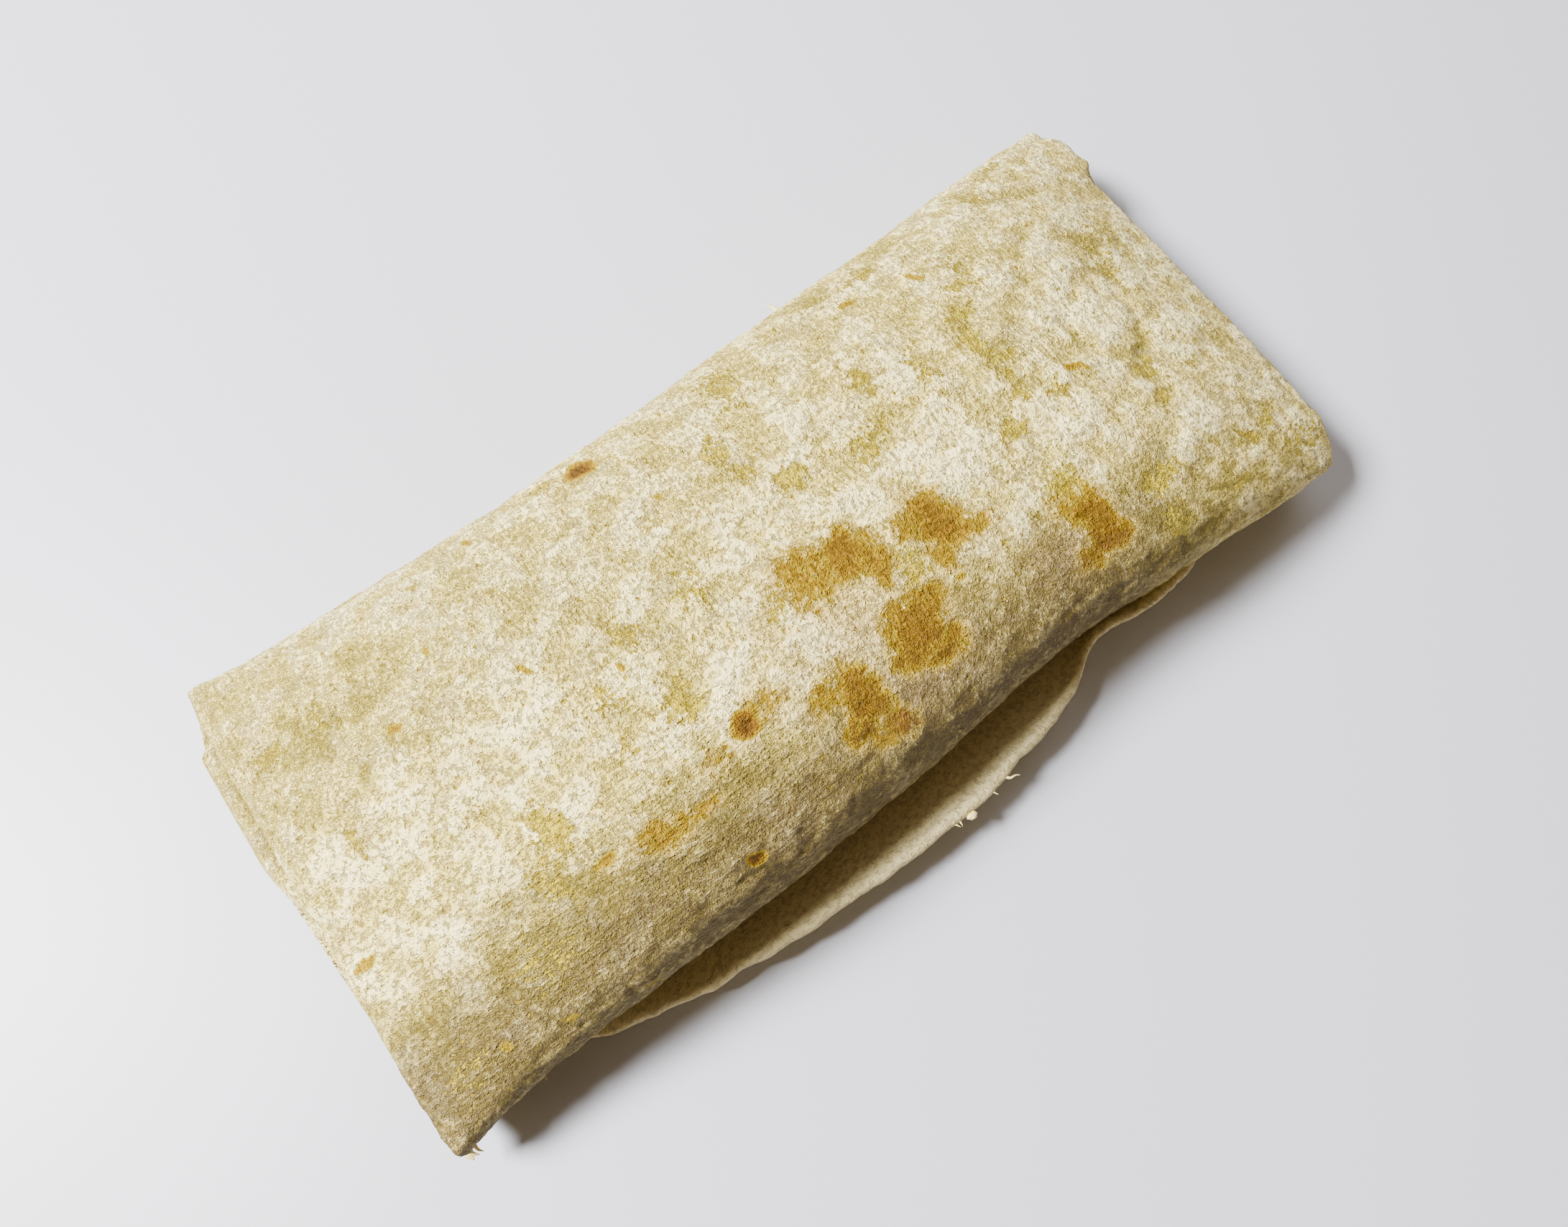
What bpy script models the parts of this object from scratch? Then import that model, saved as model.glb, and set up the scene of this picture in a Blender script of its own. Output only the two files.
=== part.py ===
"""A burrito lying on its seam: one wheat tortilla, its two ends folded in, rolled round the filling.

The roll is a single solid, lofted along X from closed sections in the YZ plane. Each section starts at the
tortilla's free edge, runs in along the loose lip to the crease under the roll, goes up the front, over the
top and down the back, and returns along the flat underside to the free edge. At both ends the loft turns
in over a rounded hem, drops into a groove and ends on the flattened inner turn of the fold.
"""

import math

import bmesh
import bpy
from mathutils import Vector

# Driving dimensions, in metres. +X runs along the roll, -Y is the front with the loose lip.
LENGTH = 0.1922  # between the two folded ends, along the middle
HEIGHT = 0.0385  # of the plump middle
END_THICKNESS = 0.0120  # of the stacked folds at an end
END_LIFT = 0.0040  # the ends curl this far off the table
SINK = 0.0016  # how much of the round underside is pressed flat
TORTILLA = 0.0020  # thickness of one layer
EDGE_ROUNDING = 0.0008  # of its cut edge

# The sides seen from above: x, front y, back y. The plump middle is narrower than the ends.
SIDES = (
    (-0.0961, -0.0448, 0.0455),
    (-0.0860, -0.0432, 0.0422),
    (-0.0700, -0.0426, 0.0393),
    (-0.0400, -0.0433, 0.0365),
    (-0.0050, -0.0426, 0.0370),
    (0.0300, -0.0406, 0.0384),
    (0.0480, -0.0422, 0.0389),
    (0.0660, -0.0430, 0.0413),
    (0.0820, -0.0442, 0.0435),
    (0.0961, -0.0443, 0.0458),
)

# The tortilla's free edge: x, y, height, and how deep the gap behind it is.
FREE_EDGE = (
    (-0.0950, -0.0210, 0.0010, 0.0020),
    (-0.0840, -0.0330, 0.0011, 0.0025),
    (-0.0720, -0.0416, 0.0024, 0.0055),
    (-0.0580, -0.0466, 0.0056, 0.0120),
    (-0.0320, -0.0505, 0.0080, 0.0170),
    (-0.0030, -0.0518, 0.0086, 0.0190),
    (0.0160, -0.0493, 0.0086, 0.0165),
    (0.0270, -0.0462, 0.0086, 0.0120),
    (0.0360, -0.0423, 0.0086, 0.0070),
    (0.0580, -0.0433, 0.0076, 0.0040),
    (0.0720, -0.0380, 0.0024, 0.0030),
    (0.0840, -0.0310, 0.0011, 0.0025),
    (0.0950, -0.0210, 0.0010, 0.0020),
)
LIP_ROOT = -0.0330  # the lip leaves the table no further in than this y
LIP_FADE = 0.0060  # the free edge melts into the end hems over this length
LIP_KNEE = 0.57  # share of its width after which the lip curls up
LIP_CURL = 0.10  # share of its rise that comes before that
CREASE_GAP = 0.0002  # between the lip and the roll, where the lip lies under it

# Where the top and the underside start to taper, measured from the middle, and how.
TOP_TAPER_START = 0.0400
TOP_TAPER_POWER = 1.75
UNDER_TAPER_START = 0.0600
UNDER_TAPER_POWER = 2.0
WIDEST_HEIGHT = 0.0170  # of the sides, above the table
MIDDLE_SQUARENESS = 2.5  # exponent of the superelliptic section
END_SQUARENESS = 3.2

# The ends: a rounded hem, a groove, and the flattened inner turn of the fold.
HEM_RADIUS = 0.0021
HEM_SIDE_INSET = 0.55  # the hem turns in less at the corners than on the flats
GROOVE_DEPTH = 0.0028
LEFT_SKEW = 0.0013  # half the difference between the two corners of the end
RIGHT_SKEW = 0.0012
FRONT_CORNER_CUT = 0.0026  # the right front corner is rounded off
TONGUE_REACH = 0.0033  # the inner turn peeks out of the left end
TONGUE_BACK = (0.0350, 0.0325)  # y where it starts and where it has its full reach
TONGUE_FRONT = (-0.0080, 0.0120)
DOG_EAR_REACH = 0.0032  # a small fold stands out at the right end
DOG_EAR_MIDDLE = 0.0350
DOG_EAR_HALF_WIDTH = 0.0070

# The tucked-in layer shows through as a shallow step round the right end.
IMPRINT_FROM_END = 0.0300
IMPRINT_WIDTH = 0.0030
IMPRINT_DEPTH = 0.0009
IMPRINT_BOW = 0.0030
IMPRINT_BOW_WAVE = 0.1400

# The filling makes broad swells in the top.
SWELL = 0.0009
SWELL_ALONG = 0.0620
SWELL_ACROSS = 0.0480
SWELL_LEAN = 0.4300  # how far the swells drift across, per metre along

# Mesh
STEPS_ALONG = 46
ROLL_POINTS = 58
LIP_POINTS = 3
ROOT_GAP = math.radians(8)  # of the roll's turn, left for the lip

WHEAT_COLOUR = (0.72, 0.61, 0.40, 1.0)
WHEAT_ROUGHNESS = 0.62


def ease(start, end, value):
    """Smooth step from 0 at start to 1 at end."""
    t = min(1.0, max(0.0, (value - start) / (end - start)))
    return t * t * (3.0 - 2.0 * t)


def mix(a, b, t):
    return a + (b - a) * t


def bell(value, middle, spread):
    return math.exp(-(((value - middle) / spread) ** 2))


def taper(x, start, power):
    """0 in the plump middle, 1 at a folded end."""
    return max(0.0, (abs(x) - start) / (LENGTH / 2 - start)) ** power


def through(stations, x):
    """The values at x on smooth curves through the stations, whose first value is their x."""
    last = len(stations) - 1
    x = min(stations[last][0], max(stations[0][0], x))
    i = next(i for i in range(last) if x <= stations[i + 1][0])
    start, end = stations[i], stations[i + 1]
    before, after = stations[max(0, i - 1)], stations[min(last, i + 2)]
    span = end[0] - start[0]
    t = (x - start[0]) / span
    values = []
    for k in range(1, len(start)):
        slope_in = (end[k] - before[k]) / (end[0] - before[0]) * span
        slope_out = (after[k] - start[k]) / (after[0] - start[0]) * span
        values.append(
            (2 * t**3 - 3 * t**2 + 1) * start[k]
            + (t**3 - 2 * t**2 + t) * slope_in
            + (3 * t**2 - 2 * t**3) * end[k]
            + (t**3 - t**2) * slope_out
        )
    return values


class Section:
    """The outline of the roll at one x, inset towards its middle for the rings of an end."""

    def __init__(self, x, inset=0.0):
        front, back = through(SIDES, x)
        ends = taper(x, TOP_TAPER_START, TOP_TAPER_POWER)
        top = mix(HEIGHT, END_LIFT + END_THICKNESS, ends)
        under = mix(-SINK, END_LIFT, taper(x, UNDER_TAPER_START, UNDER_TAPER_POWER))
        self.x = x
        self.middle = (front + back) / 2
        self.half_width = (back - front) / 2 - inset * HEM_SIDE_INSET
        self.widest = mix(WIDEST_HEIGHT, END_LIFT + END_THICKNESS / 2, ends)
        self.rise = top - self.widest - inset
        self.drop = self.widest - under - inset
        self.power = 2.0 / mix(MIDDLE_SQUARENESS, END_SQUARENESS, ends)
        self.floor = max(0.0, under)
        self.lip_share = ease(0.0, LIP_FADE, LENGTH / 2 - HEM_RADIUS - abs(x))

    def roll(self, turn, lift=0.0):
        """Point of the roll at an angle: 0 front, a quarter turn up, half a turn at the back."""
        c, s = math.cos(turn), math.sin(turn)
        y = self.middle - self.half_width * math.copysign(abs(c) ** self.power, c)
        reach = self.rise if s > 0 else self.drop
        z = self.widest + reach * math.copysign(abs(s) ** self.power, s)
        return Vector((y, max(z, self.floor + lift)))

    def turn_at(self, y):
        """Angle below the front at which the roll's underside passes y."""
        share = min(0.995, max(0.05, (self.middle - y) / self.half_width))
        return -math.acos(share ** (1.0 / self.power))

    def points(self):
        """The closed outline, from the root of the lip out to the free edge and round the roll."""
        edge_y, edge_height, gap = through(FREE_EDGE, self.x)
        tip = Vector((edge_y, self.floor + edge_height))
        lift = (TORTILLA + CREASE_GAP) * self.lip_share
        crease_turn = self.turn_at(edge_y + gap)
        crease = self.roll(crease_turn, lift)
        root = Vector((max(edge_y + gap, LIP_ROOT) + TORTILLA / 4, self.floor))
        root_turn = self.turn_at(root[0]) - ROOT_GAP

        along = tip - Vector((mix(root[0], tip[0], LIP_KNEE), self.floor + TORTILLA / 2))
        along.normalize()
        across = Vector((along[1], -along[0])) * TORTILLA / 2
        shoulder = tip - along * EDGE_ROUNDING
        under_lip = curl(root, shoulder - across)
        over_lip = curl(crease, shoulder + across)[1:]
        flap = under_lip + [tip] + over_lip[::-1]
        plain = [
            self.roll(mix(root_turn, crease_turn, i / len(flap))) for i in range(len(flap))
        ]
        flap = [a.lerp(b, self.lip_share) for a, b in zip(plain, flap)]

        last = math.tau + root_turn
        turns = [mix(crease_turn, last, i / ROLL_POINTS) for i in range(ROLL_POINTS)]
        return flap + [self.roll(turn, lift if turn < 0 else 0.0) for turn in turns]


def curl(start, end):
    """Points of one side of the lip, nearly flat up to its knee and then rising, both ends included."""
    knee = Vector((mix(start[0], end[0], LIP_KNEE), mix(start[1], end[1], LIP_CURL)))
    steps = [i / (LIP_POINTS + 1) for i in range(LIP_POINTS + 2)]
    return [start * (1 - t) ** 2 + knee * 2 * t * (1 - t) + end * t * t for t in steps]


def swell(x, y):
    """Height of the filling's swells, which die out towards the ends."""
    along = math.sin(math.tau * (x + SWELL_ALONG / 7) / SWELL_ALONG)
    across = math.sin(math.tau * (y + SWELL_ACROSS / 3 + SWELL_LEAN * x) / SWELL_ACROSS)
    return SWELL * along * across * (1.0 - taper(x, 0.0, 3.0))


def imprint(x, y):
    """Depth of the step where the tucked-in layer ends under the top."""
    bow = IMPRINT_BOW * math.sin(math.tau * y / IMPRINT_BOW_WAVE + 0.5)
    return -IMPRINT_DEPTH * bell(x, LENGTH / 2 - IMPRINT_FROM_END + bow, IMPRINT_WIDTH)


def end_shift(x, y):
    """How far a point lies along X from where it would lie on a roll with square ends."""
    out = abs(x) / (LENGTH / 2)
    share = ease(0.35, 1.0, out)
    side = y / SIDES[-1][2]
    if x < 0:
        return share * LEFT_SKEW * side
    corner = FRONT_CORNER_CUT * ease(0.78, 1.0, -side)
    off_ear = abs(y - DOG_EAR_MIDDLE) / DOG_EAR_HALF_WIDTH
    ear = DOG_EAR_REACH * ease(1.0, 0.5, off_ear) * ease(0.93, 1.0, out)
    return share * (RIGHT_SKEW * side - corner) + ear


def tongue(x, y):
    """How far the inner turn of the left end stands out at y."""
    if x > 0:
        return 0.0
    return TONGUE_REACH * ease(*TONGUE_BACK, y) * ease(*TONGUE_FRONT, y)


def rings():
    """The loft's rings, left end to right: x, inset, and whether they are on the inner turn."""
    edge = LENGTH / 2
    hem = (
        (HEM_RADIUS * 1.05, 0.0, False),
        (HEM_RADIUS * 0.30, HEM_RADIUS * 0.30, False),
        (0.0, HEM_RADIUS * 0.95, False),
        (HEM_RADIUS * 0.35, HEM_RADIUS * 1.55, False),
        (GROOVE_DEPTH, HEM_RADIUS * 1.80, False),
        (GROOVE_DEPTH * 0.80, HEM_RADIUS * 1.95, True),
        (GROOVE_DEPTH * 0.30, HEM_RADIUS * 2.15, True),
        (GROOVE_DEPTH * 0.10, HEM_RADIUS * 2.60, True),
    )
    body_edge = edge - hem[0][0]
    body = []
    for i in range(1, STEPS_ALONG):
        t = 2.0 * i / STEPS_ALONG - 1.0
        body.append((body_edge * mix(t, math.sin(t * math.pi / 2), 0.45), 0.0, False))
    left = [(back - edge, inset, inner) for back, inset, inner in reversed(hem)]
    right = [(edge - back, inset, inner) for back, inset, inner in hem]
    return left + body + right


def make_roll():
    mesh = bmesh.new()
    loops = []
    for x, inset, inner in rings():
        loop = []
        for y, z in Section(x, inset).points():
            crown = ease(WIDEST_HEIGHT, HEIGHT, z)
            z += crown * (swell(x, y) + imprint(x, y))
            out = tongue(x, y) if inner else 0.0
            loop.append(mesh.verts.new((x + end_shift(x, y) - out, y, z)))
        loops.append(loop)
    count = len(loops[0])
    for near, far in zip(loops, loops[1:]):
        for i in range(count):
            j = (i + 1) % count
            mesh.faces.new((near[i], near[j], far[j], far[i]))
    mesh.faces.new(list(reversed(loops[0])))
    mesh.faces.new(loops[-1])
    bmesh.ops.recalc_face_normals(mesh, faces=mesh.faces)
    low = Vector([min(v.co[k] for v in mesh.verts) for k in range(3)])
    high = Vector([max(v.co[k] for v in mesh.verts) for k in range(3)])
    foot = Vector(((low[0] + high[0]) / 2, (low[1] + high[1]) / 2, low[2]))
    bmesh.ops.translate(mesh, verts=mesh.verts, vec=-foot)
    data = bpy.data.meshes.new("tortilla_roll")
    mesh.to_mesh(data)
    mesh.free()
    return data


def wheat_tortilla():
    material = bpy.data.materials.new("wheat_tortilla")
    material.use_nodes = True
    shader = material.node_tree.nodes["Principled BSDF"]
    shader.inputs["Base Color"].default_value = WHEAT_COLOUR
    shader.inputs["Roughness"].default_value = WHEAT_ROUGHNESS
    shader.inputs["Metallic"].default_value = 0.0
    return material


def main():
    for obj in list(bpy.data.objects):
        bpy.data.objects.remove(obj)
    data = make_roll()
    data.materials.append(wheat_tortilla())
    data.shade_smooth()
    roll = bpy.data.objects.new("tortilla_roll", data)
    bpy.context.scene.collection.objects.link(roll)


main()
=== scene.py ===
"""Dresses the burrito: the floury wheat tortilla with its blisters, wrinkles, toasted spots and oil stains,
the crumbs and shreds on its edges, and a plain stage with a camera.

Every length is in metres unless its name ends in MM. A place on the tortilla is given on the unrolled sheet
in millimetres: how far along the roll from its middle, and how far around it from the line along the top,
negative towards the front.
"""

import math

import bpy
import numpy as np
from bpy.props import FloatProperty, FloatVectorProperty, PointerProperty
from bpy.types import Operator, Panel, PropertyGroup
from mathutils import Matrix, Vector


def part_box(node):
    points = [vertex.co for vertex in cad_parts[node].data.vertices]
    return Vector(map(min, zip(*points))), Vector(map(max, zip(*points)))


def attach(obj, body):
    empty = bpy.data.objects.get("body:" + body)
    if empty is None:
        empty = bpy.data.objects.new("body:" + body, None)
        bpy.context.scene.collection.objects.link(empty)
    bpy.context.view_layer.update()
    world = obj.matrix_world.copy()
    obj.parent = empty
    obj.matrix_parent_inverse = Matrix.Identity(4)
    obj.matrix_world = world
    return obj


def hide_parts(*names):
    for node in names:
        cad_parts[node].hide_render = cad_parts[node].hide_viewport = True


bl_info = {
    "name": "Burrito",
    "version": (1, 0, 0),
    "blender": (4, 5, 0),
    "location": "View3D > Sidebar > Burrito",
    "description": "A burrito in a toasted wheat tortilla, with a loose lip along its front",
    "category": "Add Mesh",
}

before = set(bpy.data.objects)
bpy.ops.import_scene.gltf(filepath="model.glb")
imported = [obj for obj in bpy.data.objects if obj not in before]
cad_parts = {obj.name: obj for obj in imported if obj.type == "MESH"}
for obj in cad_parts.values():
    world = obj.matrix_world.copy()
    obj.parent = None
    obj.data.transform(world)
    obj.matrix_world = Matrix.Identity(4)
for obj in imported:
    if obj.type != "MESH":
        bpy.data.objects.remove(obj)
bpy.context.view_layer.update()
ROLL_LOW, ROLL_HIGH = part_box("tortilla_roll")
MM = 0.001

# The roll, with the values of the solid model
LENGTH = 0.1922
HEIGHT = 0.0385
END_THICKNESS = 0.0120
END_LIFT = 0.0040
SINK = 0.0016
TORTILLA = 0.0020
EDGE_ROUNDING = 0.0008
SIDES = np.array(
    (
        (-0.0961, -0.0448, 0.0455),
        (-0.0860, -0.0432, 0.0422),
        (-0.0700, -0.0426, 0.0393),
        (-0.0400, -0.0433, 0.0365),
        (-0.0050, -0.0426, 0.0370),
        (0.0300, -0.0406, 0.0384),
        (0.0480, -0.0422, 0.0389),
        (0.0660, -0.0430, 0.0413),
        (0.0820, -0.0442, 0.0435),
        (0.0961, -0.0443, 0.0458),
    )
)
FREE_EDGE = np.array(
    (
        (-0.0950, -0.0210, 0.0010, 0.0020),
        (-0.0840, -0.0330, 0.0011, 0.0025),
        (-0.0720, -0.0416, 0.0024, 0.0055),
        (-0.0580, -0.0466, 0.0056, 0.0120),
        (-0.0320, -0.0505, 0.0080, 0.0170),
        (-0.0030, -0.0518, 0.0086, 0.0190),
        (0.0160, -0.0493, 0.0086, 0.0165),
        (0.0270, -0.0462, 0.0086, 0.0120),
        (0.0360, -0.0423, 0.0086, 0.0070),
        (0.0580, -0.0433, 0.0076, 0.0040),
        (0.0720, -0.0380, 0.0024, 0.0030),
        (0.0840, -0.0310, 0.0011, 0.0025),
        (0.0950, -0.0210, 0.0010, 0.0020),
    )
)
LIP_ROOT = -0.0330
LIP_FADE = 0.0060
LIP_KNEE = 0.57
LIP_CURL = 0.10
CREASE_GAP = 0.0002
TOP_TAPER_START = 0.0400
TOP_TAPER_POWER = 1.75
UNDER_TAPER_START = 0.0600
UNDER_TAPER_POWER = 2.0
WIDEST_HEIGHT = 0.0170
MIDDLE_SQUARENESS = 2.5
END_SQUARENESS = 3.2
HEM_RADIUS = 0.0015
HEM_SIDE_INSET = 0.55
GROOVE_DEPTH = 0.0028
LEFT_SKEW = 0.0013
RIGHT_SKEW = 0.0012
FRONT_CORNER_CUT = 0.0026
TONGUE_REACH = 0.0033
TONGUE_BACK = (0.0350, 0.0325)
TONGUE_FRONT = (-0.0080, 0.0120)
DOG_EAR_REACH = 0.0022
DOG_EAR_MIDDLE = 0.0350
DOG_EAR_HALF_WIDTH = 0.0070
SWELL = 0.0009
SWELL_ALONG = 0.0620
SWELL_ACROSS = 0.0480
SWELL_LEAN = 0.4300
ROOT_GAP = math.radians(8)

# The hem of an end: step, distance from the end, inset, and 1 on the inner turn of the fold
HEM = np.array(
    (
        (0, HEM_RADIUS * 1.05, 0.0, 0),
        (1, HEM_RADIUS * 0.30, HEM_RADIUS * 0.30, 0),
        (2, 0.0, HEM_RADIUS * 0.95, 0),
        (3, HEM_RADIUS * 0.35, HEM_RADIUS * 1.55, 0),
        (4, GROOVE_DEPTH, HEM_RADIUS * 1.80, 0),
        (5, GROOVE_DEPTH * 0.80, HEM_RADIUS * 1.95, 1),
        (6, GROOVE_DEPTH * 0.30, HEM_RADIUS * 2.15, 1),
        (7, GROOVE_DEPTH * 0.10, HEM_RADIUS * 2.60, 1),
    )
)

# Mesh: rings along the roll and points in each ring
BODY_RINGS = 302
HEM_RINGS = 13
UNDER_POINTS = 12
EDGE_POINTS = 3
OVER_POINTS = 25
ROLL_POINTS = 262
FINE_TURNS = 2400
RESTING_SHARE = 0.28  # how dense the points are where the roll lies on the table

# Toasted spots: along, around, half length, half width, degrees, strength
TOASTED = (
    (-26.4, -19.8, 1.9, 2.1, 20, 1.0),
    (-22.0, 32.2, 2.8, 2.0, 0, 1.0),
    (-36.1, -36.9, 1.4, 1.6, 30, 0.95),
    (-54.0, -23.2, 1.2, 0.8, 0, 0.65),
    (-92.3, -13.4, 2.4, 0.9, 5, 0.45),
    (-81.3, -36.4, 1.1, 0.8, 0, 0.5),
    (-71.0, -39.2, 1.2, 0.6, 0, 0.45),
    (-68.3, 12.2, 0.9, 0.9, 0, 0.55),
    (-57.4, 19.2, 0.7, 0.7, 0, 0.5),
    (-47.0, 6.9, 1.0, 1.5, 10, 0.5),
    (-42.6, 34.0, 0.9, 1.7, 0, 0.45),
    (-35.9, -1.0, 1.0, 0.7, 0, 0.45),
    (-15.2, 17.6, 1.1, 0.9, 0, 0.4),
    (32.3, 27.4, 1.9, 1.1, 5, 0.55),
    (43.4, 24.6, 1.0, 1.5, 20, 0.45),
    (53.3, -6.2, 2.6, 0.8, -35, 0.6),
    (14.2, -22.2, 1.3, 1.2, 0, 0.4),
    (-59.0, -45.0, 1.4, 0.9, 0, 0.5),
    (72.5, -31.6, 1.5, 0.7, -15, 0.4),
)
# Oil from the filling, soaked through: the same six values
OILY = (
    (-5.0, -7.2, 4.4, 4.2, 0, 0.62),
    (1.6, -8.6, 3.4, 3.2, -20, 0.95),
    (4.6, -12.2, 2.4, 3.2, 0, 0.72),
    (16.8, -13.6, 3.0, 4.6, 20, 0.95),
    (12.2, -11.2, 2.2, 2.0, 0, 0.6),
    (14.2, -17.6, 2.6, 2.4, 0, 0.6),
    (20.6, -17.6, 3.4, 1.3, -10, 0.5),
    (3.4, -24.4, 4.4, 4.4, -25, 1.0),
    (7.6, -21.8, 2.8, 2.6, 0, 0.75),
    (5.8, -29.2, 3.4, 2.2, 0, 0.8),
    (-9.4, -27.0, 3.0, 4.8, 15, 1.0),
    (-12.6, -30.6, 2.6, 2.6, 0, 0.85),
    (-7.6, -34.2, 3.2, 2.4, 0, 0.7),
    (-14.5, -23.6, 2.6, 1.6, 0, 0.6),
    (38.4, -28.2, 2.6, 4.8, 5, 0.95),
    (39.6, -32.4, 3.2, 2.2, 0, 0.95),
    (35.6, -25.2, 2.2, 2.8, 0, 0.55),
    (35.0, -33.6, 3.6, 1.8, 0, 0.65),
    (-44.2, -25.2, 4.2, 1.9, -8, 0.62),
    (-37.8, -25.6, 2.6, 1.4, 0, 0.5),
    (-22.8, -18.8, 3.2, 1.8, 0, 0.42),
    (-32.4, -20.6, 2.2, 1.6, 0, 0.45),
)
# Where the oil is redder
REDDISH = (
    (-4.6, -34.6, 3.6, 2.4, 0, 0.9),
    (8.4, -33.2, 3.4, 2.0, 0, 0.85),
    (-7.0, -37.5, 3.5, 2.0, 0, 0.6),
    (30.4, -32.8, 4.4, 2.6, 0, 0.6),
    (39.0, -34.0, 3.6, 1.6, 0, 0.6),
    (-3.0, -15.5, 4.5, 2.0, 0, 0.35),
)
# Where the flour has taken a pink tint
PINKISH = (
    (0.0, -30.0, 15.0, 9.0, 0, 0.75),
    (-4.0, -18.0, 9.0, 8.0, 0, 0.55),
    (31.0, -31.0, 11.0, 6.5, 0, 0.6),
    (19.0, -18.0, 7.0, 5.0, 0, 0.4),
    (-14.0, -12.0, 6.0, 8.0, 0, 0.3),
    (-30.0, -36.0, 12.0, 5.0, 0, 0.3),
)
# Bare, yellow skin with hardly any flour on it
BARE = (
    (-57.6, -14.6, 2.6, 4.8, 10, 0.55),
    (-62.0, -21.5, 3.2, 4.2, 0, 0.35),
    (-69.0, -30.0, 6.5, 5.0, 0, 0.24),
    (-88.0, -35.0, 5.5, 3.5, 0, 0.22),
    (-87.2, 23.2, 3.2, 1.9, -10, 0.62),
    (-77.0, 22.0, 2.6, 3.4, 0, 0.3),
    (-83.0, 2.5, 1.8, 3.4, 10, 0.35),
    (-64.5, -6.2, 2.2, 1.8, 0, 0.25),
    (-32.2, -11.2, 3.2, 3.2, 0, 0.46),
    (-42.0, -11.6, 2.4, 1.6, 0, 0.32),
    (-40.0, -4.2, 2.8, 3.4, 0, 0.28),
    (-20.0, 2.4, 2.2, 4.4, 0, 0.28),
    (-32.6, 3.0, 2.4, 3.4, 20, 0.3),
    (-28.0, 35.0, 2.4, 2.4, 0, 0.4),
    (-53.8, 31.4, 1.5, 1.2, 0, 0.35),
    (-3.4, 18.6, 2.2, 3.4, 0, 0.42),
    (-2.6, 12.6, 1.6, 2.4, 0, 0.32),
    (3.2, 6.8, 3.2, 1.6, -15, 0.52),
    (5.0, 29.0, 3.4, 5.4, 0, 0.34),
    (22.6, 12.6, 1.7, 3.0, 15, 0.46),
    (15.6, 3.4, 3.0, 3.0, 0, 0.36),
    (20.6, 4.8, 2.2, 2.0, 0, 0.36),
    (31.2, 8.0, 1.9, 4.2, -10, 0.32),
    (43.4, 12.2, 3.2, 1.6, 10, 0.46),
    (41.6, 6.4, 1.8, 3.8, 0, 0.52),
    (43.4, 1.8, 3.0, 1.6, 0, 0.42),
    (47.6, 17.8, 3.2, 1.3, -10, 0.4),
    (41.4, -3.4, 1.7, 5.0, 0, 0.36),
    (36.2, -9.2, 2.8, 1.9, 20, 0.42),
    (47.2, -7.4, 1.6, 2.2, 0, 0.36),
    (50.2, 22.0, 1.5, 4.2, 0, 0.3),
    (37.0, 32.4, 3.2, 2.2, 0, 0.36),
    (28.4, 33.0, 2.4, 2.2, 0, 0.36),
    (66.0, 33.0, 2.2, 3.4, 0, 0.26),
    (78.0, 39.6, 2.6, 1.8, 0, 0.26),
    (76.0, 8.0, 3.8, 6.0, 0, 0.22),
    (82.0, 12.0, 7.0, 3.6, 0, 0.2),
    (64.6, -13.6, 2.8, 1.6, -20, 0.5),
    (67.4, -11.6, 1.5, 2.4, 0, 0.5),
    (63.0, -18.4, 1.7, 2.4, 0, 0.4),
    (52.2, -28.6, 4.4, 2.2, 15, 0.52),
    (50.8, -38.0, 3.4, 4.4, 0, 0.4),
    (37.6, -20.6, 3.2, 3.6, 0, 0.42),
    (80.6, -31.2, 3.4, 1.2, 10, 0.46),
    (73.6, -32.2, 3.2, 1.2, -20, 0.46),
    (67.2, -38.2, 2.8, 1.6, 0, 0.46),
    (75.0, -15.6, 3.4, 1.2, 0, 0.24),
    (86.0, -38.0, 6.0, 3.0, 0, 0.3),
    (-12.0, -8.0, 2.6, 3.4, 0, 0.3),
    (8.6, -16.6, 2.6, 3.6, 0, 0.34),
)
# Where the flour is thin over a wide stretch
THIN = (
    (-80.0, 20.0, 20.0, 12.0, 0, 0.30),
    (-62.0, -27.0, 20.0, 8.0, -4, 0.40),
    (-38.0, -29.0, 16.0, 7.0, 0, 0.34),
    (-88.0, -34.0, 14.0, 8.0, 0, 0.42),
    (-10.0, -33.0, 20.0, 8.0, 0, 0.26),
    (34.0, -30.0, 14.0, 8.0, 0, 0.26),
    (12.0, -14.0, 12.0, 7.0, 0, 0.16),
    (-24.0, 0.0, 12.0, 6.0, 0, 0.10),
    (40.0, 5.0, 9.0, 9.0, 0, 0.16),
    (20.0, 9.0, 9.0, 8.0, 0, 0.14),
    (60.0, -38.0, 20.0, 7.0, 0, 0.16),
    (30.0, 36.0, 20.0, 5.0, 0, 0.12),
    (-2.0, 15.0, 6.0, 8.0, 0, 0.14),
)
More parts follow.
